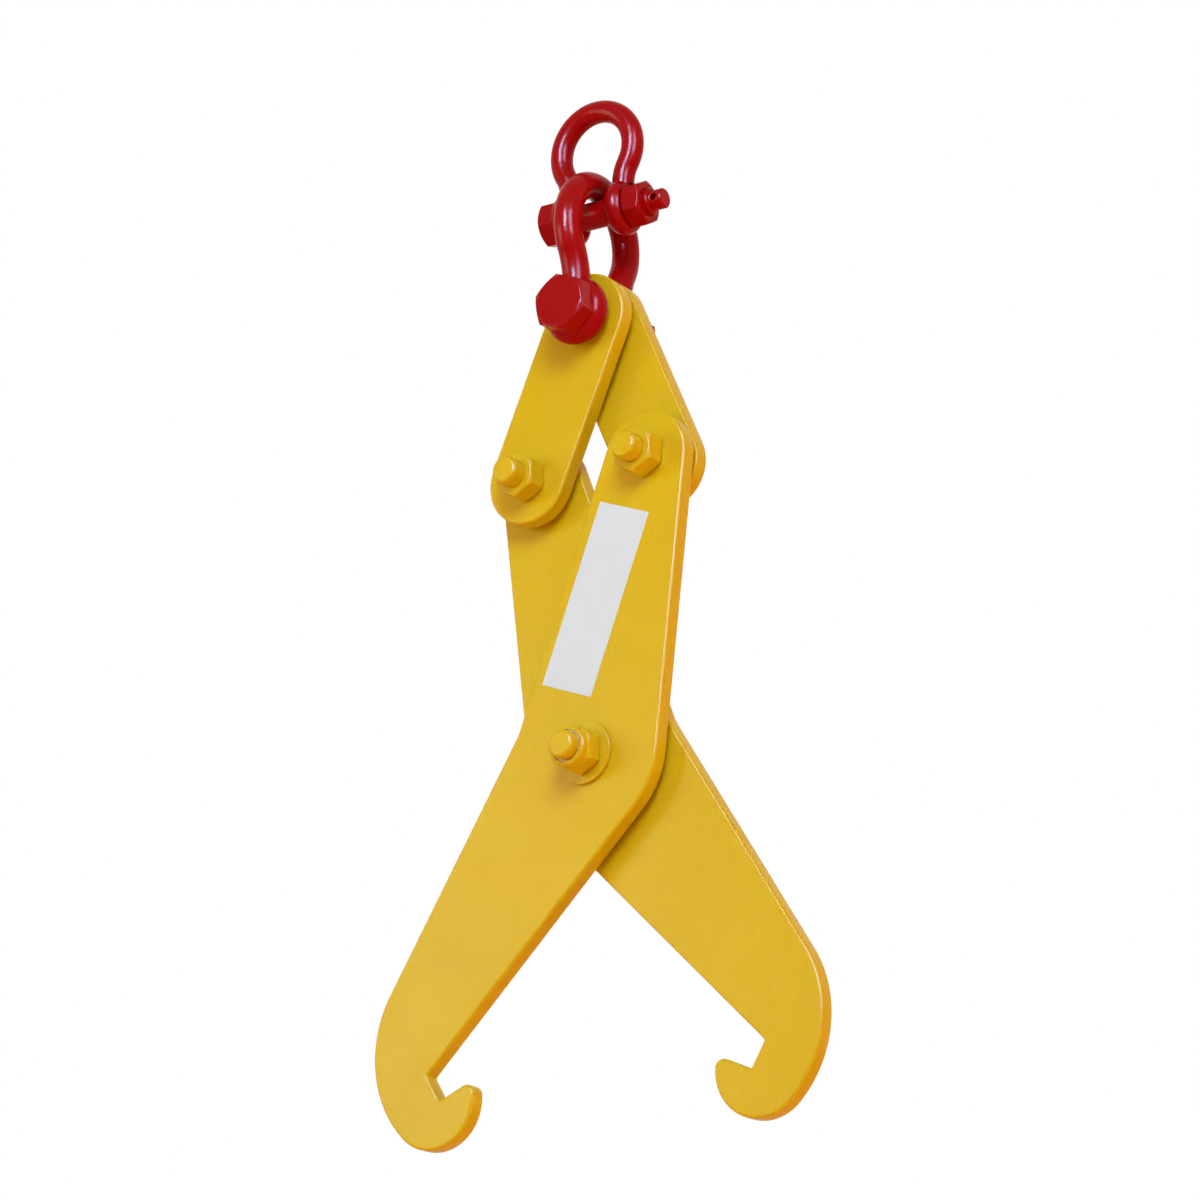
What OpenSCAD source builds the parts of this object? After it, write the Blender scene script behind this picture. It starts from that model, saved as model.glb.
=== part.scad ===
// Beam tongs: two crossed hook legs on a centre bolt, hung by two links from a pair of bolt shackles.
// The origin is where a crane hook bears, inside the crown of the upper shackle. The hooks hang down -Z,
// the nuts face -Y, and every plate lies square to the Y axis.

/* [Plates] */
// Thickness of the leg and link plates
plate_t = 12.7; // [10:0.1:16]
// Clear gap between the front and the rear layer of plates
layer_gap = 4.8; // [4:0.1:8]
// Play left on each side of a spacer and under each bolt head
side_play = 0.1; // [0.05:0.05:0.3]

/* [Links] */
// Shackle bolt to the side pivot, centre to centre
link_len = 119.3; // [110:0.1:130]
// Radius of both link ends, which is half the link's width
link_r = 30.7; // [27:0.1:33]

/* [Legs] */
// Centre pivot to the upper pivot of a leg
arm_len = 204.5; // [195:0.5:230]
// Angle of a leg's arm from the vertical as the tongs hang
arm_angle = 13.35; // [12:0.05:15]
// Radius round the leg's upper pivot
leg_top_r = 31.8; // [28:0.1:34]
// Elbow corner beside the centre pivot, out from the arm's centreline
elbow_x = 57.8; // [52:0.1:64]
// Elbow corner, below the centre pivot
elbow_drop = 12.8; // [8:0.1:20]
// Radius of the elbow
elbow_r = 60; // [40:1:75]
// Hollow corner on the other edge, out from the arm's centreline
waist_x = 56.5; // [52:0.1:62]
// Hollow corner, above the centre pivot
waist_rise = 7.8; // [0:0.1:14]
// Radius of the hollow corner
waist_r = 45; // [25:1:60]
// Slope of the outer edge below the hollow corner, from the arm's direction
back_angle = 18.45; // [17.5:0.05:19.5]
// Radius of the outer edge as it turns into the hook
back_r = 78.8; // [70:0.1:90]

/* [Hooks] */
// Upper corner of the notch, out from the arm's centreline
notch_x = 74.1; // [70:0.1:78]
// Upper corner of the notch, below the centre pivot
notch_drop = 225.2; // [215:0.1:235]
// Mouth of the notch, which holds a flange up to this thick
notch_w = 20.2; // [14:0.1:24]
// Slope of the notch's inner wall, from the arm's direction
notch_tilt = 43.5; // [40:0.5:47]
// Rise of the lip, from square to the arm
lip_angle = 37.5; // [33:0.5:42]
// Radius of the hook's round end
hook_r = 33.1; // [31:0.1:36]
// Centre of the round end, behind the notch's lower corner
hook_back = 6.2; // [3:0.1:9]
// Centre of the round end, below the notch's lower corner
hook_low = 0.7; // [0:0.1:3]
// Radius on the tip of the lip
lip_r = 6; // [2:0.5:9]
// Radius in the two corners of the notch
notch_r = 2; // [1:0.25:4]

/* [Pivot bolts] */
// Diameter of the three pivot bolts
pivot_d = 19.05; // [16:0.05:20]
// Running clearance round a bolt that turns in its hole, on the radius
running_fit = 0.075; // [0.02:0.005:0.1]
// Extra radius of the loose hole in the right link, which takes up the spread of the links
loose_extra = 2.3; // [2:0.1:2.6]
// Width across the flats of the pivot bolts' heads and nuts
pivot_af = 28.6; // [27:0.1:31]
// Height of the pivot bolts' heads
pivot_head_h = 11.9; // [10:0.1:13]
// Height of the two side nuts
side_nut_h = 16.3; // [14:0.1:18]
// Bolt standing out past a side nut
side_bolt_out = 12.1; // [6:0.1:16]
// Bolt standing out past the centre lock nut
centre_bolt_out = 7.7; // [4:0.1:12]
// Chamfer on the tip of a pivot bolt
tip_chamfer = 1.6; // [0.8:0.1:2.4]

/* [Washers and lock nut] */
// Outer diameter of the centre bolt's washers
washer_d = 43; // [38:0.5:48]
// Thickness of the centre bolt's washers
washer_t = 3; // [2:0.1:4]
// Outer diameter of the spacers between the plates
spacer_d = 44; // [36:0.5:48]
// Outer diameter of the spacer on the shackle bolt
top_spacer_d = 46; // [38:0.5:50]
// Height of the lock nut, collar included
lock_nut_h = 19.5; // [18:0.1:22]
// Height of the lock nut's hexagon
lock_hex_h = 13.6; // [12:0.1:15]
// Outer diameter of the lock nut's collar
collar_d = 27.6; // [26:0.1:28]
// Wall of the lock nut's collar
collar_wall = 1.7; // [1.2:0.1:2]
// Turned-in lip that holds the insert, seen from the front
collar_lip = 1.3; // [0.8:0.1:1.6]
// Thickness of that lip
collar_lip_t = 1.2; // [0.8:0.1:1.6]
// Chamfer on the rim of the lock nut's collar
collar_edge = 1.1; // [0.5:0.1:1.3]
// Thickness of the insert ring
insert_t = 3.6; // [2.5:0.1:4.5]

/* [Lower shackle] */
// Diameter of the lower bow's bar
lower_bar_d = 19.2; // [17:0.1:20]
// Width inside the lower bow
lower_bow_w = 54.2; // [50:0.1:58]
// Bolt centre to the inside of the lower bow's crown
lower_inside = 89.5; // [86:0.1:96]
// Opening between the lower bow's eyes
lower_jaw = 31.8; // [31:0.1:34]
// Thickness of the lower bow's eyes
lower_eye_t = 19.6; // [19.4:0.1:21]
// Outer diameter of the lower bow's eyes
lower_eye_d = 47; // [42:0.1:50]
// Depth of the flat seat for the head and the nut in each lower eye
lower_seat = 1.5; // [0.5:0.1:2.5]
// Height above the bolt at which the lower bow's legs start to spread
lower_neck = 19.5; // [17:0.1:24]
// Diameter of the lower shackle's bolt
lower_bolt_d = 22.2; // [20:0.1:23]
// Width across the flats of the lower bolt's head
lower_head_af = 36.6; // [32:0.1:38]
// Height of the lower bolt's head
lower_head_h = 14.6; // [12:0.1:16]
// Turn of the lower bolt's head, from corner up
lower_head_turn = 8.6; // [0:0.1:60]
// Width across the flats of the lower nut
lower_nut_af = 33.3; // [32:0.1:36]
// Height of the lower nut
lower_nut_h = 15; // [14:0.1:20]
// Turn of the lower nut, from corner up
lower_nut_turn = 3; // [0:1:60]
// Thread standing out past the lower nut
lower_thread_out = 2.5; // [2:0.1:6]
// Length of the lower bolt's plain tip, which carries the cotter
lower_tip_len = 8.5; // [8:0.1:13]
// Turn of the lower bolt's cross hole, from level
lower_cross_turn = 67; // [0:1:180]

/* [Upper shackle] */
// Diameter of the upper bow's bar
upper_bar_d = 15.6; // [14:0.1:16.4]
// Width inside the upper bow
upper_bow_w = 42.8; // [40:0.1:46]
// Bolt centre to the inside of the upper bow's crown
upper_inside = 69; // [66:0.1:74]
// Opening between the upper bow's eyes
upper_jaw = 26.9; // [25:0.1:28]
// Thickness of the upper bow's eyes
upper_eye_t = 16; // [15.8:0.1:17]
// Outer diameter of the upper bow's eyes
upper_eye_d = 38; // [36:0.1:42]
// Depth of the flat seat for the head and the nut in each upper eye
upper_seat = 2; // [0.5:0.1:2.5]
// Height above the bolt at which the upper bow's legs start to spread
upper_neck = 18.5; // [16:0.1:20]
// Diameter of the upper shackle's bolt
upper_bolt_d = 19.05; // [17:0.05:20]
// Width across the flats of the upper bolt's head
upper_head_af = 28.6; // [27:0.1:31]
// Height of the upper bolt's head
upper_head_h = 12.7; // [10:0.1:14]
// Turn of the upper bolt's head, from corner up
upper_head_turn = 12.4; // [0:0.1:60]
// Width across the flats of the upper nut
upper_nut_af = 28.6; // [27:0.1:31]
// Height of the upper nut
upper_nut_h = 14.6; // [13:0.1:17]
// Turn of the upper nut, from corner up
upper_nut_turn = 0; // [0:1:60]
// Thread standing out past the upper nut
upper_thread_out = 4; // [3:0.1:6]
// Length of the upper bolt's plain tip, which carries the cross hole
upper_tip_len = 9.6; // [8:0.1:13]
// Turn of the upper bolt's cross hole, from level
upper_cross_turn = 0; // [0:1:180]

/* [Shackle details] */
// Clearance round a shackle bolt in its bow's eyes, on the radius
eye_clear = 0.4; // [0.2:0.1:0.8]
// Clearance round the corners of a head or nut in its seat
seat_clear = 0.4; // [0.2:0.1:0.8]
// Gap between the upper bolt and the lower bow that hangs on it
crown_clear = 0.5; // [0.2:0.05:0.8]
// Step down from the thread to the plain tip, on the radius
tip_step = 2.4; // [1.5:0.1:3]
// Chamfer on the thread's end and on the plain tip
tip_edge = 1; // [0.5:0.1:1.4]
// Diameter of the cross hole in a shackle bolt's tip
cross_hole_d = 4.8; // [4.6:0.1:5.2]
// Diameter of the cotter pin
cotter_d = 4; // [3.5:0.1:4.2]
// Angle at which each cotter leg is bent out
cotter_spread = 40; // [20:1:80]
// Length of each bent cotter leg
cotter_leg = 8; // [6:0.5:14]
// Radius of the cotter's eye, to the middle of its wire
cotter_eye_r = 4.4; // [3.8:0.1:5]

/* [Hidden] */
$fn = 96;

paint_yellow = [0.86, 0.71, 0.16];
paint_red = [0.65, 0.08, 0.09];
insert_tone = [0.80, 0.66, 0.18];
bright_steel = [0.72, 0.72, 0.73];

// The two layers of plates, from the inner face to the outer face
inner_y = layer_gap / 2;
outer_y = inner_y + plate_t;
spacer_t = layer_gap - 2 * side_play;

// Heights, from the crane hook down
upper_bolt_z = -upper_inside;
lower_bolt_z = upper_bolt_z + upper_bolt_d / 2 + crown_clear - lower_inside;
side_x = arm_len * sin(arm_angle);
link_angle = asin(side_x / link_len);
side_z = lower_bolt_z - link_len * cos(link_angle);
centre_z = side_z - arm_len * cos(arm_angle);

pivot_r = pivot_d / 2;
pivot_hole_r = pivot_r + running_fit;
lower_hole_r = lower_bolt_d / 2 + running_fit;

// Clearance between a nut and its thread, on the radius
thread_fit = 0.05;

// How far a cut runs past the face that it opens
over = 1;

// A bow's legs stand this far out from the inner faces of its eyes
leg_step = 0.2;

// Length that each shackle's bolt clamps, between its head and its nut
lower_grip = lower_jaw + 2 * (lower_eye_t - lower_seat);
upper_grip = upper_jaw + 2 * (upper_eye_t - upper_seat);

// Most that a chord of an outline may lie inside its arc
chord_gap = 0.03;

// The curved necks of a bow are this much thinner than its bar, and run this far into what they join
neck_step = 0.05;
neck_bite = 1;

function unit(v) = v / norm(v);
function along(angle) = [sin(angle), cos(angle)];

// Point where the line from p touches the circle at c, on the right of the way to c for side 1, left for -1
function touch(p, c, r, side) =
    let (gap = c - p, base = atan2(gap[1], gap[0]), turn = asin(r / norm(gap)))
    p + sqrt(norm(gap) * norm(gap) - r * r) * [cos(base - side * turn), sin(base - side * turn)];

// Half the angle at a corner between its two neighbours
function half_angle(p, corner, q) = acos(unit(p - corner) * unit(q - corner)) / 2;

// Start of the arc of radius r that rounds a corner, on its side towards p
function arc_start(p, corner, q, r) = corner + unit(p - corner) * r / tan(half_angle(p, corner, q));

// Centre of the arc of radius r that rounds a corner
function arc_centre(p, corner, q, r) =
    corner + unit(unit(p - corner) + unit(q - corner)) * r / sin(half_angle(p, corner, q));

// Angle of a vector, from +X towards +Y
function angle_of(v) = atan2(v[1], v[0]);

// An angle brought into the range from 0 to a full turn
full_turn = 360;
function within_turn(a) = a - full_turn * floor(a / full_turn);

// Turn from one angle to another, counter-clockwise for way 1 and clockwise for -1
function turn_to(from, to, way) = way > 0 ? within_turn(to - from) : -within_turn(from - to);

// Points along an arc from p to q round a centre, with chords that stay within chord_gap of it
function arc(centre, p, q, way) =
    let (
        r = norm(p - centre),
        from = angle_of(p - centre),
        turn = turn_to(from, angle_of(q - centre), way),
        steps = ceil(abs(turn) / (2 * acos(1 - chord_gap / r)))
    )
    [for (i = [0:steps]) centre + r * [cos(from + turn * i / steps), sin(from + turn * i / steps)]];

// Points of the arc that rounds a corner between p and q
function rounded(p, corner, q, r) =
    arc(arc_centre(p, corner, q, r), arc_start(p, corner, q, r), arc_start(q, corner, p, r),
        sign(cross(corner - p, q - corner)));

// Leg outline with its centre pivot at the origin and its arm straight up. The hook is on the left.
leg_top = [0, arm_len];
elbow = [elbow_x, -elbow_drop];
waist = [-waist_x, waist_rise];
notch_upper = [-notch_x, -notch_drop];
wall_way = [sin(notch_tilt), -cos(notch_tilt)];
notch_lower = notch_upper + notch_w * wall_way;
lip_way = [cos(lip_angle), sin(lip_angle)];
lip_up = [-sin(lip_angle), cos(lip_angle)];
hook_centre = notch_lower - [hook_back, hook_low];
back_way = -along(back_angle);
back_in = [-back_way[1], back_way[0]];
arm_right = touch(elbow, leg_top, leg_top_r, 1);
arm_left = touch(waist, leg_top, leg_top_r, -1);

// The large arc of the back runs from the straight outer edge to the hook's round end
hook_offset = (hook_centre - waist) * back_in;
hook_along = (hook_centre - waist) * back_way;
back_run = hook_along - sqrt(pow(back_r - hook_r, 2) - pow(back_r - hook_offset, 2));
back_start = waist + back_way * back_run;
back_centre = back_start + back_in * back_r;
back_end = hook_centre + unit(hook_centre - back_centre) * hook_r;

// The tip of the lip is rounded where the lip's face meets the hook's round end
hook_from_lip = hook_centre - notch_lower;
tip_along = hook_from_lip * lip_way
    + sqrt(pow(hook_r - lip_r, 2) - pow(lip_r + hook_from_lip * lip_up, 2));
tip_centre = notch_lower + lip_way * tip_along - lip_up * lip_r;
tip_face = notch_lower + lip_way * tip_along;
tip_back = hook_centre + unit(tip_centre - hook_centre) * hook_r;

leg_outline = concat(
    arc(leg_top, arm_right, arm_left, 1),
    rounded(arm_left, waist, back_start, waist_r),
    arc(back_centre, back_start, back_end, 1),
    arc(hook_centre, back_end, tip_back, 1),
    arc(tip_centre, tip_back, tip_face, 1),
    rounded(tip_face, notch_lower, notch_upper, notch_r),
    rounded(notch_lower, notch_upper, elbow, notch_r),
    rounded(notch_upper, elbow, arm_right, elbow_r)
);

module link_outline() {
    translate([-link_r, 0]) square([2 * link_r, link_len]);
    circle(link_r);
    translate([0, link_len]) circle(link_r);
}

// Plate from a flat outline, standing in the XZ plane, with its front face at y_front
module plate(y_front) {
    translate([0, y_front + plate_t, 0]) rotate([90, 0, 0]) linear_extrude(plate_t) children();
}

// Hole or shank along Y through the place [x, z]
module bore(place, r, y_from, y_to) {
    translate([place[0], y_to, place[1]]) rotate([90, 0, 0]) cylinder(r = r, h = y_to - y_from);
}

module leg(y_front) {
    difference() {
        plate(y_front) polygon(leg_outline);
        bore([0, 0], pivot_hole_r, y_front - over, y_front + plate_t + over);
        bore(leg_top, pivot_hole_r, y_front - over, y_front + plate_t + over);
    }
}

// Link hanging from the shackle bolt at the origin. low_r is the radius of its lower hole.
module link(y_front, low_r) {
    difference() {
        translate([0, 0, -link_len]) plate(y_front) link_outline();
        bore([0, 0], lower_hole_r, y_front - over, y_front + plate_t + over);
        bore([0, -link_len], low_r, y_front - over, y_front + plate_t + over);
    }
}

// A hexagon's centre to its corners, as a share of its width across the flats
corner_share = 1 / sqrt(3);

// Hexagon with its corners turned off. faced leaves a thin round washer face underneath.
washer_face_t = 0.6;
corner_slope = 30;
module hexagon(af, h, faced) {
    corner_r = af * corner_share;
    face_r = 0.475 * af;
    turn_h = (corner_r - face_r) * tan(corner_slope);
    foot = faced ? washer_face_t : 0;
    intersection() {
        cylinder(r = corner_r, h = h, $fn = 6);
        rotate_extrude() polygon([
            [0, 0], [faced ? face_r : corner_r + over, 0], [faced ? face_r : corner_r + over, foot],
            [corner_r + over, foot + (faced ? turn_h : 0)],
            [corner_r + over, h - turn_h - over * tan(corner_slope)],
            [face_r, h], [0, h]
        ]);
    }
}

// Bolt shank from the origin up +Z with a chamfered tip
module shank(d, length, chamfer) {
    rotate_extrude() polygon([
        [0, 0], [d / 2, 0], [d / 2, length - chamfer], [d / 2 - chamfer, length], [0, length]
    ]);
}

module ring(outer_d, hole_r, t) {
    difference() {
        cylinder(d = outer_d, h = t);
        translate([0, 0, -over]) cylinder(r = hole_r, h = t + 2 * over);
    }
}

// Turns a piece built up +Z so that it points to -Y, with its base at [x, y, z]
module face_front(at) {
    translate(at) rotate([90, 0, 0]) children();
}

module nut(af, h, bolt_d) {
    difference() {
        rotate([0, 0, 30]) hexagon(af, h, true);
        translate([0, 0, -over]) cylinder(d = bolt_d + 2 * thread_fit, h = h + 2 * over);
    }
}

// Pivot bolt with its head behind the rear layer. from_y is the back of the clamped stack.
module pivot_bolt(place, from_y, tip_y) {
    face_front([place[0], from_y, place[1]]) shank(pivot_d, from_y - tip_y, tip_chamfer);
    translate([place[0], from_y, place[1]]) rotate([-90, 0, 0]) rotate([0, 0, 30])
        hexagon(pivot_af, pivot_head_h, false);
}

// Anchor bow with its bolt hole along X through the origin, its crown up and a flat seat outside each eye
module bow(bar_d, bow_w, inside, jaw, eye_t, eye_d, neck, hole_d, grip, seat_r) {
    bar_r = bar_d / 2;
    ring_r = bow_w / 2 + bar_r;
    ring_z = inside + bar_r - ring_r;
    foot_x = jaw / 2 + leg_step + bar_r;
    eye_x = (jaw + eye_t) / 2;
    drop = ring_z - neck;
    flare_r = (drop * drop + foot_x * foot_x - ring_r * ring_r) / (2 * (ring_r - foot_x));
    flare_a = atan2(drop, foot_x + flare_r);
    bite_a = neck_bite / flare_r * 180 / PI;
    rim_r = eye_t / 2;
    difference() {
        union() {
            translate([0, 0, ring_z]) rotate([90, 0, 0]) rotate([0, 0, -flare_a])
                rotate_extrude(angle = 180 + 2 * flare_a) translate([ring_r, 0]) circle(bar_r);
            for (s = [0, 1]) mirror([s, 0, 0]) {
                translate([foot_x + flare_r, 0, neck]) rotate([90, 0, 0])
                    rotate([0, 0, 180 - flare_a - bite_a]) rotate_extrude(angle = flare_a + 2 * bite_a)
                    translate([flare_r, 0]) circle(bar_r - neck_step);
                translate([foot_x, 0, 0]) cylinder(r = bar_r, h = neck);
                translate([eye_x, 0, 0]) rotate([0, 90, 0]) rotate_extrude() {
                    translate([0, -rim_r]) square([eye_d / 2 - rim_r, eye_t]);
                    intersection() {
                        translate([eye_d / 2 - rim_r, 0]) circle(rim_r);
                        translate([0, -rim_r]) square([eye_d, eye_t]);
                    }
                }
            }
        }
        translate([-jaw / 2 - eye_t - over, 0, 0]) rotate([0, 90, 0])
            cylinder(d = hole_d, h = jaw + 2 * eye_t + 2 * over);
        for (s = [0, 1]) mirror([s, 0, 0])
            translate([grip / 2, 0, 0]) rotate([0, 90, 0]) cylinder(r = seat_r, h = bar_d);
    }
}

// Radius of the seats in a bow's eyes, round the corners of the larger of its head and nut
function seat_radius(head_af, nut_af) = max(head_af, nut_af) * corner_share + seat_clear;

// Middle of a shackle bolt's cross hole, from the end of its thread
cross_hole_at = tip_edge + cross_hole_d / 2;

// Shackle bolt along +X with its head on the left eye. thread_to and tip_to count from under the head.
module shackle_bolt(d, af, head_h, head_turn, grip, thread_to, tip_to, cross_turn) {
    tip_r = d / 2 - tip_step;
    translate([-grip / 2, 0, 0]) rotate([0, 90, 0]) difference() {
        rotate_extrude() polygon([
            [0, 0], [d / 2, 0], [d / 2, thread_to - tip_edge], [d / 2 - tip_edge, thread_to],
            [tip_r, thread_to], [tip_r, tip_to - tip_edge], [tip_r - tip_edge, tip_to], [0, tip_to]
        ]);
        rotate([0, 0, cross_turn]) translate([0, d, thread_to + cross_hole_at]) rotate([90, 0, 0])
            cylinder(d = cross_hole_d, h = 2 * d);
    }
    translate([-grip / 2, 0, 0]) rotate([0, -90, 0]) rotate([0, 0, head_turn]) hexagon(af, head_h, false);
}

module shackle_nut(af, h, bolt_d, grip, nut_turn) {
    translate([grip / 2, 0, 0]) rotate([nut_turn, 0, 0]) rotate([0, 90, 0]) rotate([0, 0, 30])
        nut(af, h, bolt_d);
}

// Split cotter through the cross hole, with a round eye on one side and its legs bent apart on the other
cotter_out = 0.6;
module cotter(tip_r) {
    leg_r = 0.4 * cotter_d;
    eye_wire_r = 0.3 * cotter_d;
    reach = tip_r + cotter_out;
    neck = reach + eye_wire_r;
    translate([0, -neck, 0]) rotate([-90, 0, 0]) cylinder(d = cotter_d, h = neck + reach);
    translate([0, -neck - cotter_eye_r, 0]) rotate([0, 90, 0])
        rotate_extrude() translate([cotter_eye_r, 0]) circle(eye_wire_r);
    for (s = [0, 1]) mirror([0, 0, s]) rotate([0, -90, 0])
        translate([cotter_d, reach - neck_bite, 0]) rotate([0, 0, 180 - cotter_spread]) {
            rotate_extrude(angle = cotter_spread) translate([cotter_d, 0]) circle(leg_r);
            translate([cotter_d, neck_bite, 0]) rotate([90, 0, 0])
                cylinder(r = leg_r - neck_step, h = cotter_leg);
        }
}

// Places of the moving pieces
module at_lower_shackle() {
    translate([0, 0, lower_bolt_z]) rotate([0, 0, 90]) children();
}
module at_upper_shackle() {
    translate([0, 0, upper_bolt_z]) children();
}
module at_centre(s) {
    translate([0, 0, centre_z]) mirror([s, 0, 0]) rotate([0, arm_angle, 0]) children();
}
module at_link(s) {
    translate([0, 0, lower_bolt_z]) mirror([s, 0, 0]) rotate([0, link_angle, 0]) children();
}

module upper_bow() {
    color(paint_red) at_upper_shackle()
        bow(upper_bar_d, upper_bow_w, upper_inside, upper_jaw, upper_eye_t, upper_eye_d, upper_neck,
            upper_bolt_d + 2 * eye_clear, upper_grip, seat_radius(upper_head_af, upper_nut_af));
}
module upper_bolt() {
    thread_to = upper_grip + upper_nut_h + upper_thread_out;
    color(paint_red) at_upper_shackle()
        shackle_bolt(upper_bolt_d, upper_head_af, upper_head_h, upper_head_turn, upper_grip, thread_to,
            thread_to + upper_tip_len, upper_cross_turn);
}
module upper_nut() {
    color(paint_red) at_upper_shackle()
        shackle_nut(upper_nut_af, upper_nut_h, upper_bolt_d, upper_grip, upper_nut_turn);
}
module lower_bow() {
    color(paint_red) at_lower_shackle()
        bow(lower_bar_d, lower_bow_w, lower_inside, lower_jaw, lower_eye_t, lower_eye_d, lower_neck,
            lower_bolt_d + 2 * eye_clear, lower_grip, seat_radius(lower_head_af, lower_nut_af));
}
lower_thread_to = lower_grip + lower_nut_h + lower_thread_out;
module lower_bolt() {
    color(paint_red) at_lower_shackle()
        shackle_bolt(lower_bolt_d, lower_head_af, lower_head_h, lower_head_turn, lower_grip, lower_thread_to,
            lower_thread_to + lower_tip_len, lower_cross_turn);
}
module lower_nut() {
    color(paint_red) at_lower_shackle()
        shackle_nut(lower_nut_af, lower_nut_h, lower_bolt_d, lower_grip, lower_nut_turn);
}
module lower_cotter() {
    hole_x = lower_thread_to + cross_hole_at - lower_grip / 2;
    color(bright_steel) at_lower_shackle() translate([hole_x, 0, 0]) rotate([lower_cross_turn, 0, 0])
        cotter(lower_bolt_d / 2 - tip_step);
}
module top_spacer() {
    color(paint_yellow) face_front([0, spacer_t / 2, lower_bolt_z])
        ring(top_spacer_d, lower_hole_r, spacer_t);
}
module left_link() {
    color(paint_yellow) at_link(0) link(-outer_y, pivot_hole_r);
}
module right_link() {
    color(paint_yellow) at_link(1) link(inner_y, pivot_hole_r + loose_extra);
}
module left_bolt() {
    color(paint_yellow)
        pivot_bolt([-side_x, side_z], outer_y + side_play, -outer_y - side_nut_h - side_bolt_out);
}
module left_nut() {
    color(paint_yellow) face_front([-side_x, -outer_y, side_z]) nut(pivot_af, side_nut_h, pivot_d);
}
module left_spacer() {
    color(paint_yellow) face_front([-side_x, spacer_t / 2, side_z]) ring(spacer_d, pivot_hole_r, spacer_t);
}
module right_bolt() {
    color(paint_yellow)
        pivot_bolt([side_x, side_z], outer_y + side_play, -outer_y - side_nut_h - side_bolt_out);
}
module right_nut() {
    color(paint_yellow) face_front([side_x, -outer_y, side_z]) nut(pivot_af, side_nut_h, pivot_d);
}
module right_spacer() {
    color(paint_yellow) face_front([side_x, spacer_t / 2, side_z]) ring(spacer_d, pivot_hole_r, spacer_t);
}
module front_leg() {
    color(paint_yellow) at_centre(0) leg(-outer_y);
}
module rear_leg() {
    color(paint_yellow) at_centre(1) leg(inner_y);
}

// The centre bolt clamps, from the back: head, rear washer, both legs, front washer, lock nut
washer_front_y = -outer_y - side_play - washer_t;
module centre_bolt() {
    color(paint_yellow)
        pivot_bolt([0, centre_z], outer_y + washer_t, washer_front_y - lock_nut_h - centre_bolt_out);
}
module rear_washer() {
    color(paint_yellow) face_front([0, outer_y + washer_t, centre_z])
        ring(washer_d, pivot_hole_r, washer_t);
}
module front_washer() {
    color(paint_yellow) face_front([0, washer_front_y + washer_t, centre_z])
        ring(washer_d, pivot_hole_r, washer_t);
}
module centre_spacer() {
    color(paint_yellow) face_front([0, spacer_t / 2, centre_z]) ring(spacer_d, pivot_hole_r, spacer_t);
}
insert_from = lock_nut_h - collar_lip_t - insert_t;
module centre_nut() {
    collar_r = collar_d / 2;
    pocket_r = collar_r - collar_wall;
    color(paint_yellow) face_front([0, washer_front_y, centre_z]) difference() {
        union() {
            rotate([0, 0, 30]) hexagon(pivot_af, lock_hex_h, true);
            rotate_extrude() polygon([
                [0, lock_hex_h - over], [collar_r, lock_hex_h - over], [collar_r, lock_nut_h - collar_edge],
                [collar_r - collar_edge, lock_nut_h], [0, lock_nut_h]
            ]);
        }
        translate([0, 0, -over]) cylinder(r = pivot_r + thread_fit, h = lock_nut_h);
        translate([0, 0, insert_from]) cylinder(r = pocket_r, h = insert_t);
        translate([0, 0, lock_nut_h - collar_lip_t - over])
            cylinder(r = pocket_r - collar_lip, h = collar_lip_t + 2 * over);
    }
}
module centre_insert() {
    color(insert_tone) face_front([0, washer_front_y - insert_from, centre_z])
        ring(collar_d - 2 * collar_wall, pivot_r + thread_fit, insert_t);
}

upper_bow();
upper_bolt();
upper_nut();
lower_bow();
lower_bolt();
lower_nut();
lower_cotter();
top_spacer();
left_link();
left_bolt();
left_nut();
left_spacer();
right_link();
right_bolt();
right_nut();
right_spacer();
front_leg();
rear_leg();
centre_bolt();
centre_nut();
centre_insert();
centre_spacer();
front_washer();
rear_washer();
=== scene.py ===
"""Beam tongs hung from two shackles: the finish of each piece, the bare label, the studio and the camera."""
import math

import bmesh
import bpy
from mathutils import Matrix, Vector


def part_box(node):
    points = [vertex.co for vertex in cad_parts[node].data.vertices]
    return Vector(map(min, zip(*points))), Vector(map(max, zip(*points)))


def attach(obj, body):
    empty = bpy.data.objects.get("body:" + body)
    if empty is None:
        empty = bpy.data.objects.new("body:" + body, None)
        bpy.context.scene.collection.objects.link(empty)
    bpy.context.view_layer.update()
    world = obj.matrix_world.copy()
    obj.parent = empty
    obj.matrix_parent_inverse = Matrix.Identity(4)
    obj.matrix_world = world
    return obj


MM = 0.001
WHITE = (1.0, 1.0, 1.0)

# Camera, from a fit to the photograph. Angles are in degrees, and a rise is a height above the centre pivot.
CAMERA_AZIMUTH = 32.923
CAMERA_BELOW = 17.556
CAMERA_DISTANCE = 2774.58 * MM
CAMERA_AIM_X = 2.392 * MM
CAMERA_AIM_RISE = 109.244 * MM
CAMERA_NEAR = 0.05
CAMERA_FAR = 60.0
SENSOR_WIDTH = 36.0
FRAME_WIDTH = 1200
FOCAL_PIXELS = 4148.54

# Bare label on the front leg, its back sunk a little into the paint
LABEL_WIDTH = 41 * MM
LABEL_LENGTH = 129 * MM
LABEL_THICK = 0.25 * MM
LABEL_SUNK = 0.02 * MM
LABEL_CORNER = 0.3 * MM
LABEL_CORNER_SEGMENTS = 3
LABEL_EDGE = 0.08 * MM
LABEL_EDGE_SEGMENTS = 2
LABEL_X = 8.6 * MM
LABEL_RISE = 105.054 * MM
LABEL_TILT = 20.9

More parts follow.
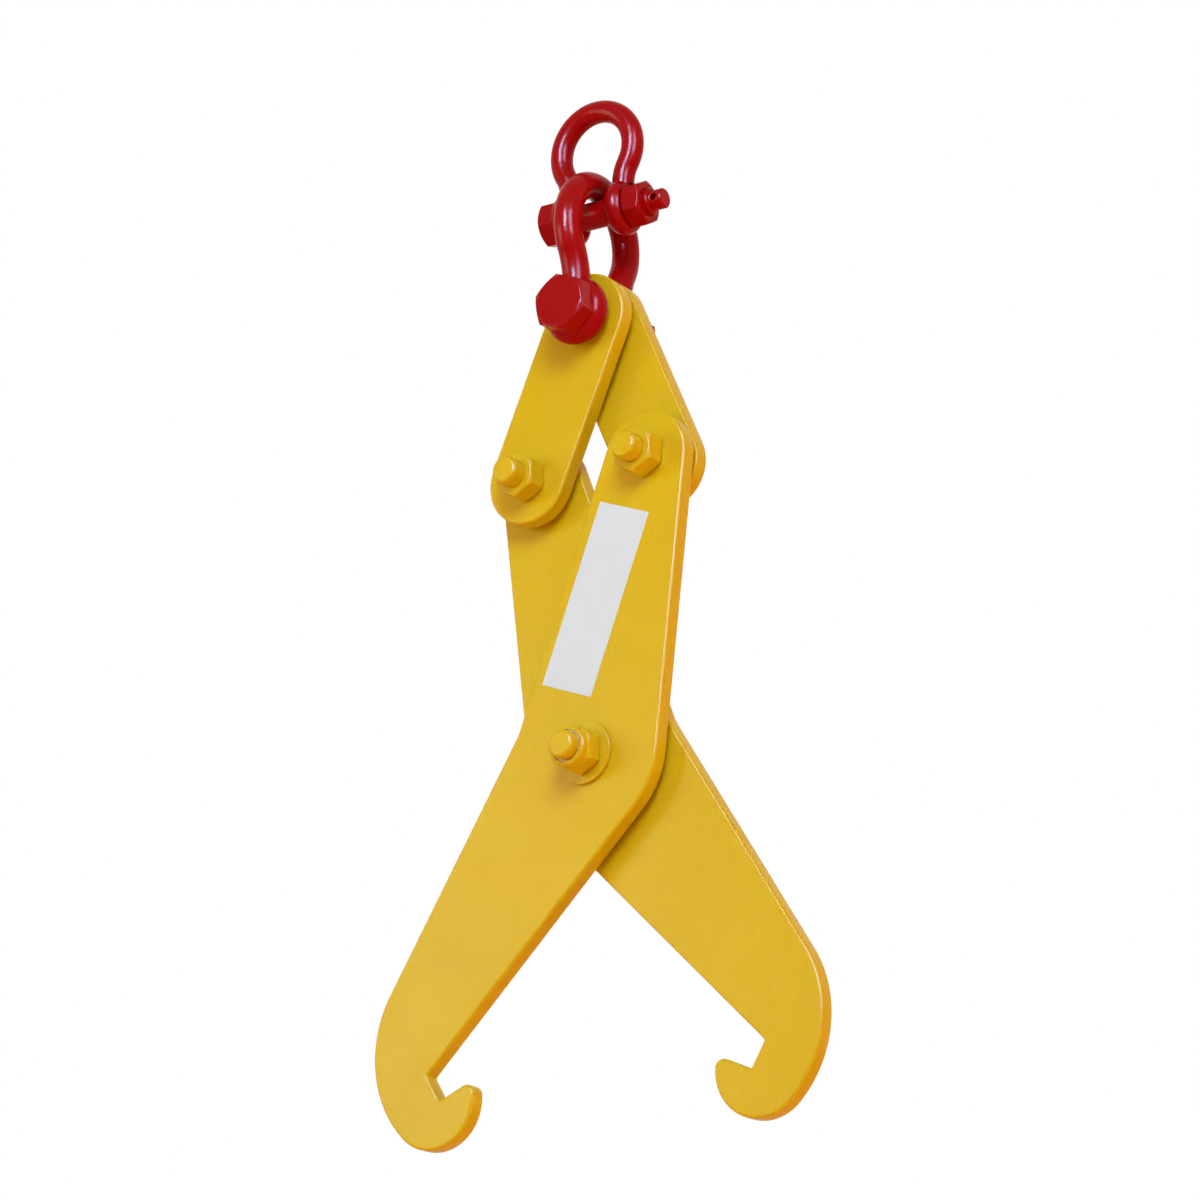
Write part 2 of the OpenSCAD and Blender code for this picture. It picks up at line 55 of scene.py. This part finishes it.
# Finishes. Colours are in linear light, and deep is the darker end of a colour's variation.
# Waves are per metre. A paint's peel is its own fine unevenness. Its swell is that of the surface under it.
YELLOW_PAINT = {
    "colour": (0.612, 0.472, 0.004),
    "deep": (0.56, 0.43, 0.003),
    "specular": 0.07,
    "roughness": 0.26,
    "peel_waves": 600,
    "peel_depth": 0.09 * MM,
    "swell_waves": 60,
    "swell_depth": 0.05 * MM,
}
RED_PAINT = {
    "colour": (0.325, 0.0022, 0.0032),
    "deep": (0.28, 0.0016, 0.0024),
    "specular": 0.055,
    "roughness": 0.22,
    "peel_waves": 350,
    "peel_depth": 0.08 * MM,
    "swell_waves": 75,
    "swell_depth": 0.42 * MM,
}
COTTER_STEEL = {
    "colour": (0.60, 0.60, 0.61),
    "deep": (0.47, 0.47, 0.49),
    "metallic": 1.0,
    "roughness": (0.25, 0.4),
    "colour_waves": 400,
    "rough_waves": 900,
    "bump_waves": 1500,
    "bump_depth": 0.02 * MM,
}
INSERT_RING = {
    "colour": (0.66, 0.43, 0.020),
    "deep": (0.60, 0.38, 0.016),
    "roughness": (0.4, 0.5),
    "colour_waves": 300,
    "rough_waves": 200,
    "bump_waves": 600,
    "bump_depth": 0.05 * MM,
}
LABEL_VINYL = {
    "colour": (0.585, 0.73, 0.86),
    "deep": (0.56745, 0.7081, 0.8342),
    "specular": 0.10,
    "roughness": (0.42, 0.5),
    "colour_waves": 60,
    "rough_waves": 400,
    "bump_waves": 700,
    "bump_depth": 0.03 * MM,
}
DRIFT_WAVES = 9
PAINT_ROUGH_WAVES = 35
PAINT_ROUGH_SPREAD = (-0.04, 0.05)

# Part of a noise's range, 0 to 1, that a ramp spreads over its whole result
COLOUR_SPAN = (0.35, 0.65)
ROUGH_SPAN = (0.3, 0.7)

RED_NODES = ("upper_bow", "upper_bolt", "upper_nut", "lower_bow", "lower_bolt", "lower_nut")

# Rounded edges: the nodes, the width, and the least angle in degrees at which an edge is rounded
EDGES = (
    (("left_link", "right_link", "front_leg", "rear_leg"), 2.0 * MM, 30),
    (("left_bolt", "right_bolt", "centre_bolt"), 0.9 * MM, 30),
    (("upper_bolt", "lower_bolt"), 0.45 * MM, 30),
    (("upper_nut", "lower_nut", "left_nut", "right_nut", "centre_nut"), 0.45 * MM, 25),
    (("top_spacer", "left_spacer", "right_spacer", "centre_spacer"), 0.4 * MM, 30),
    (("front_washer", "rear_washer"), 0.4 * MM, 30),
)
EDGE_SEGMENTS = 3
WELD_GAP = 0.002 * MM
FLAT_ANGLE = 0.4

# Floor far below, which looks pale in reflections and sends warm light up
FLOOR_Z = -1.9
FLOOR_SIZE = 14.0
FLOOR_PALE = (0.82, 0.82, 0.82)
FLOOR_BOUNCE = (1.0, 0.56, 0.30)
FLOOR_ROUGHNESS = 0.9

# Soft light from all round
WORLD_SOFT = 0.58
WORLD_COLOUR = (1.0, 0.56, 0.32)

# Lamps: name, azimuth, elevation, distance, width, height, watts, colour, and the light that it gives
GLOSS = "gloss"
DIFFUSE = "diffuse"
WINDOW_COLOUR = (0.50, 0.66, 1.0)
WALL_COLOUR = (0.66, 1.0, 0.78)
FRONT_COLOUR = (0.82, 0.97, 1.0)
WARM_COLOUR = (1.0, 0.52, 0.26)
LAMPS = (
    ("window_left", 10, 22, 3.0, 0.85, 1.5, 820, WINDOW_COLOUR, GLOSS),
    ("window_right", 54, 20, 3.0, 1.0, 1.7, 430, WINDOW_COLOUR, GLOSS),
    ("wall_left", -45, 4, 3.0, 1.5, 1.27, 66, WALL_COLOUR, GLOSS),
    ("soft_left", -45, 5, 3.0, 1.5, 1.27, 26, FRONT_COLOUR, DIFFUSE),
    ("soft_front", 30, 28, 3.2, 1.3, 1.3, 58, FRONT_COLOUR, DIFFUSE),
    ("soft_low", 100, -12, 2.4, 1.0, 1.0, 17, WARM_COLOUR, DIFFUSE),
    ("soft_back", 215, 30, 3.2, 1.6, 1.6, 40, WHITE, DIFFUSE),
)


def new_material(name):
    """Material with an empty node tree but for its shader and output."""
    material = bpy.data.materials.new(name)
    material.use_nodes = True
    shader = material.node_tree.nodes["Principled BSDF"]
    return material, material.node_tree, shader


def noise(tree, waves, detail, roughness=0.5):
    """Noise that stays fixed to the piece, with its scale in waves per metre."""
    where = tree.nodes.new("ShaderNodeTexCoord")
    texture = tree.nodes.new("ShaderNodeTexNoise")
    texture.inputs["Scale"].default_value = waves
    texture.inputs["Detail"].default_value = detail
    texture.inputs["Roughness"].default_value = roughness
    tree.links.new(where.outputs["Object"], texture.inputs["Vector"])
    return texture.outputs["Fac"]


def ramp(tree, value, span, results):
    """Value mapped from the two ends of a span to two results."""
    node = tree.nodes.new("ShaderNodeMapRange")
    for socket, number in zip(("From Min", "From Max", "To Min", "To Max"), (*span, *results)):
        node.inputs[socket].default_value = number
    tree.links.new(value, node.inputs["Value"])
    return node.outputs["Result"]


def math_of(tree, operation, first, second):
    """Result of an operation on two values."""
    node = tree.nodes.new("ShaderNodeMath")
    node.operation = operation
    tree.links.new(first, node.inputs[0])
    tree.links.new(second, node.inputs[1])
    return node.outputs["Value"]


def blend_colours(tree, value, first, second):
    """Colour that goes from the first to the second as the value goes from 0 to 1."""
    node = tree.nodes.new("ShaderNodeMix")
    node.data_type = "RGBA"
    node.inputs["A"].default_value = (*first, 1)
    node.inputs["B"].default_value = (*second, 1)
    tree.links.new(value, node.inputs["Factor"])
    return node.outputs["Result"]


def bumps(tree, shader, layers):
    """Layers of (height, depth in metres), one on the other, into the shader's normal."""
    normal = None
    for height, depth in layers:
        node = tree.nodes.new("ShaderNodeBump")
        node.inputs["Distance"].default_value = depth
        tree.links.new(height, node.inputs["Height"])
        if normal:
            tree.links.new(normal, node.inputs["Normal"])
        normal = node.outputs["Normal"]
    tree.links.new(normal, shader.inputs["Normal"])


def gloss_paint(name, colour, deep, specular, roughness, peel_waves, peel_depth, swell_waves, swell_depth):
    """Gloss paint over a surface that swells a little. Its colour varies half slowly and half finely."""
    material, tree, shader = new_material(name)
    slow = ramp(tree, noise(tree, DRIFT_WAVES, detail=4), COLOUR_SPAN, (0, 0.5))
    fine = ramp(tree, noise(tree, peel_waves, detail=1.5), COLOUR_SPAN, (0, 0.5))
    tone = math_of(tree, "ADD", slow, fine)
    tree.links.new(blend_colours(tree, tone, colour, deep), shader.inputs["Base Color"])
    spread = [roughness + step for step in PAINT_ROUGH_SPREAD]
    rough = ramp(tree, noise(tree, PAINT_ROUGH_WAVES, detail=5, roughness=0.6), ROUGH_SPAN, spread)
    tree.links.new(rough, shader.inputs["Roughness"])
    shader.inputs["Specular IOR Level"].default_value = specular
    bumps(tree, shader, [
        (noise(tree, swell_waves, detail=2), swell_depth),
        (noise(tree, peel_waves, detail=1.5), peel_depth),
    ])
    return material


def fine_finish(name, colour, deep, roughness, colour_waves, rough_waves, bump_waves, bump_depth,
                metallic=0.0, specular=0.5):
    """Finish whose colour, roughness and height vary finely. Roughness is the pair that it varies between."""
    material, tree, shader = new_material(name)
    tone = ramp(tree, noise(tree, colour_waves, detail=3), COLOUR_SPAN, (0, 1))
    tree.links.new(blend_colours(tree, tone, colour, deep), shader.inputs["Base Color"])
    rough = ramp(tree, noise(tree, rough_waves, detail=2), ROUGH_SPAN, roughness)
    tree.links.new(rough, shader.inputs["Roughness"])
    shader.inputs["Metallic"].default_value = metallic
    shader.inputs["Specular IOR Level"].default_value = specular
    bumps(tree, shader, [(noise(tree, bump_waves, detail=2), bump_depth)])
    return material


def set_material(piece, material):
    piece.data.materials.clear()
    piece.data.materials.append(material)


def round_edges(piece, width, angle):
    """Rounds a CAD node's edges with modifiers, which leave its own vertices as they are."""
    imported_normals = piece.data.attributes.get("custom_normal")
    if imported_normals:
        piece.data.attributes.remove(imported_normals)
    for polygon in piece.data.polygons:
        polygon.use_smooth = True
    weld = piece.modifiers.new("Weld", "WELD")
    weld.merge_threshold = WELD_GAP
    flat = piece.modifiers.new("Flat", "DECIMATE")
    flat.decimate_type = "DISSOLVE"
    flat.angle_limit = math.radians(FLAT_ANGLE)
    bevel = piece.modifiers.new("Edges", "BEVEL")
    bevel.width = width
    bevel.segments = EDGE_SEGMENTS
    bevel.limit_method = "ANGLE"
    bevel.angle_limit = math.radians(angle)
    bevel.use_clamp_overlap = False
    bevel.miter_outer = "MITER_SHARP"
    weighted = piece.modifiers.new("Normals", "WEIGHTED_NORMAL")
    weighted.mode = "FACE_AREA_WITH_ANGLE"


def new_object(name, mesh):
    """Object in the scene from a finished bmesh, which it frees."""
    data = bpy.data.meshes.new(name)
    mesh.to_mesh(data)
    mesh.free()
    piece = bpy.data.objects.new(name, data)
    bpy.context.scene.collection.objects.link(piece)
    return piece


def round_corners(mesh, edges, width, segments):
    bmesh.ops.bevel(mesh, geom=edges, offset=width, segments=segments, affect="EDGES", profile=0.5)


def make_label(material, pivot_z):
    """Bare white label stuck on the front leg."""
    mesh = bmesh.new()
    bmesh.ops.create_cube(mesh, size=1.0)
    bmesh.ops.scale(mesh, vec=(LABEL_WIDTH, LABEL_THICK, LABEL_LENGTH), verts=mesh.verts)
    across = [e for e in mesh.edges if abs(e.verts[0].co.y - e.verts[1].co.y) > LABEL_THICK / 2]
    round_corners(mesh, across, LABEL_CORNER, LABEL_CORNER_SEGMENTS)
    front = [e for e in mesh.edges if all(v.co.y < 0 for v in e.verts)]
    round_corners(mesh, front, LABEL_EDGE, LABEL_EDGE_SEGMENTS)
    middle_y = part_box("front_leg")[0].y - LABEL_THICK / 2 + LABEL_SUNK
    place = Matrix.Translation((LABEL_X, middle_y, pivot_z + LABEL_RISE))
    tilt = Matrix.Rotation(math.radians(LABEL_TILT), 4, "Y")
    bmesh.ops.transform(mesh, matrix=place @ tilt, verts=mesh.verts)
    label = new_object("label", mesh)
    set_material(label, material)
    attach(label, "front_leg")


def direction(azimuth, elevation):
    """Unit vector to a place seen from the object. Azimuth 0 is the nut side and 90 is the right."""
    a, e = math.radians(azimuth), math.radians(elevation)
    return Vector((math.sin(a) * math.cos(e), -math.cos(a) * math.cos(e), math.sin(e)))


def make_lamp(middle, name, azimuth, elevation, distance, width, height, watts, colour, gives):
    """Soft rectangular lamp that faces the object's middle. It gives diffuse light or gloss, never both."""
    light = bpy.data.lights.new(name, "AREA")
    light.shape = "RECTANGLE"
    light.size = width
    light.size_y = height
    light.energy = watts
    light.color = colour
    lamp = bpy.data.objects.new(name, light)
    back = direction(azimuth, elevation)
    lamp.location = middle + back * distance
    lamp.rotation_mode = "QUATERNION"
    lamp.rotation_quaternion = back.to_track_quat("Z", "Y")
    lamp.visible_camera = False
    lamp.visible_diffuse = gives == DIFFUSE
    lamp.visible_glossy = gives == GLOSS
    bpy.context.scene.collection.objects.link(lamp)


def background(tree, colour, strength):
    node = tree.nodes.new("ShaderNodeBackground")
    node.inputs["Color"].default_value = (*colour, 1)
    node.inputs["Strength"].default_value = strength
    return node.outputs["Background"]


def make_world():
    """Plain soft light, and a white background for the camera and for reflections."""
    world = bpy.data.worlds.new("studio")
    bpy.context.scene.world = world
    world.use_nodes = True
    tree = world.node_tree
    tree.nodes.clear()
    path = tree.nodes.new("ShaderNodeLightPath")
    seen = math_of(tree, "MAXIMUM", path.outputs["Is Camera Ray"], path.outputs["Is Transmission Ray"])
    mirrored = math_of(tree, "MAXIMUM", seen, path.outputs["Is Glossy Ray"])
    choose = tree.nodes.new("ShaderNodeMixShader")
    output = tree.nodes.new("ShaderNodeOutputWorld")
    tree.links.new(mirrored, choose.inputs["Fac"])
    tree.links.new(background(tree, WORLD_COLOUR, WORLD_SOFT), choose.inputs[1])
    tree.links.new(background(tree, WHITE, 1.0), choose.inputs[2])
    tree.links.new(choose.outputs["Shader"], output.inputs["Surface"])


def make_floor():
    """Plain floor far below the hanging tongs. It sends light up, and the camera doesn't see it."""
    mesh = bmesh.new()
    bmesh.ops.create_grid(mesh, x_segments=1, y_segments=1, size=FLOOR_SIZE / 2)
    bmesh.ops.translate(mesh, vec=(0, 0, FLOOR_Z), verts=mesh.verts)
    floor = new_object("floor", mesh)
    material, tree, shader = new_material("floor")
    path = tree.nodes.new("ShaderNodeLightPath")
    colour = blend_colours(tree, path.outputs["Is Diffuse Ray"], FLOOR_PALE, FLOOR_BOUNCE)
    tree.links.new(colour, shader.inputs["Base Color"])
    shader.inputs["Roughness"].default_value = FLOOR_ROUGHNESS
    set_material(floor, material)
    floor.visible_camera = False


def make_camera(pivot_z):
    """Camera at the photograph's place, below the tongs and to their right."""
    data = bpy.data.cameras.new("camera")
    data.sensor_width = SENSOR_WIDTH
    data.lens = FOCAL_PIXELS / FRAME_WIDTH * SENSOR_WIDTH
    data.clip_start = CAMERA_NEAR
    data.clip_end = CAMERA_FAR
    camera = bpy.data.objects.new("camera", data)
    back = direction(CAMERA_AZIMUTH, -CAMERA_BELOW)
    aim = Vector((CAMERA_AIM_X, 0, pivot_z + CAMERA_AIM_RISE))
    camera.location = aim + back * CAMERA_DISTANCE
    camera.rotation_mode = "QUATERNION"
    camera.rotation_quaternion = (-back).to_track_quat("-Z", "Y")
    bpy.context.scene.collection.objects.link(camera)
    bpy.context.scene.camera = camera


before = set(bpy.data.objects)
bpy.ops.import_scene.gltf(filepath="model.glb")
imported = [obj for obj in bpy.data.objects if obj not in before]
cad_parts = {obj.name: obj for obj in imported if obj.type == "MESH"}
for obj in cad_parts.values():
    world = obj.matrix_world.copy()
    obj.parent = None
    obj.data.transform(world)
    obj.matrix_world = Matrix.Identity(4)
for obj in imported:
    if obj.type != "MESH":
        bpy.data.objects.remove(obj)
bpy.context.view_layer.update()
centre_z = sum(corner.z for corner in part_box("centre_bolt")) / 2
bpy.context.scene.view_settings.view_transform = "Standard"

make_camera(centre_z)
make_world()
make_floor()
tongs_middle = Vector((0, 0, centre_z + CAMERA_AIM_RISE))
for row in LAMPS:
    make_lamp(tongs_middle, *row)

yellow = gloss_paint("yellow_paint", **YELLOW_PAINT)
red = gloss_paint("red_paint", **RED_PAINT)
steel = fine_finish("cotter_steel", **COTTER_STEEL)
insert = fine_finish("insert_ring", **INSERT_RING)
for name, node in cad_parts.items():
    if name in RED_NODES:
        set_material(node, red)
    elif name == "lower_cotter":
        set_material(node, steel)
    elif name == "centre_insert":
        set_material(node, insert)
    else:
        set_material(node, yellow)
for names, width, angle in EDGES:
    for name in names:
        round_edges(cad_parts[name], width, angle)

make_label(fine_finish("label_vinyl", **LABEL_VINYL), centre_z)
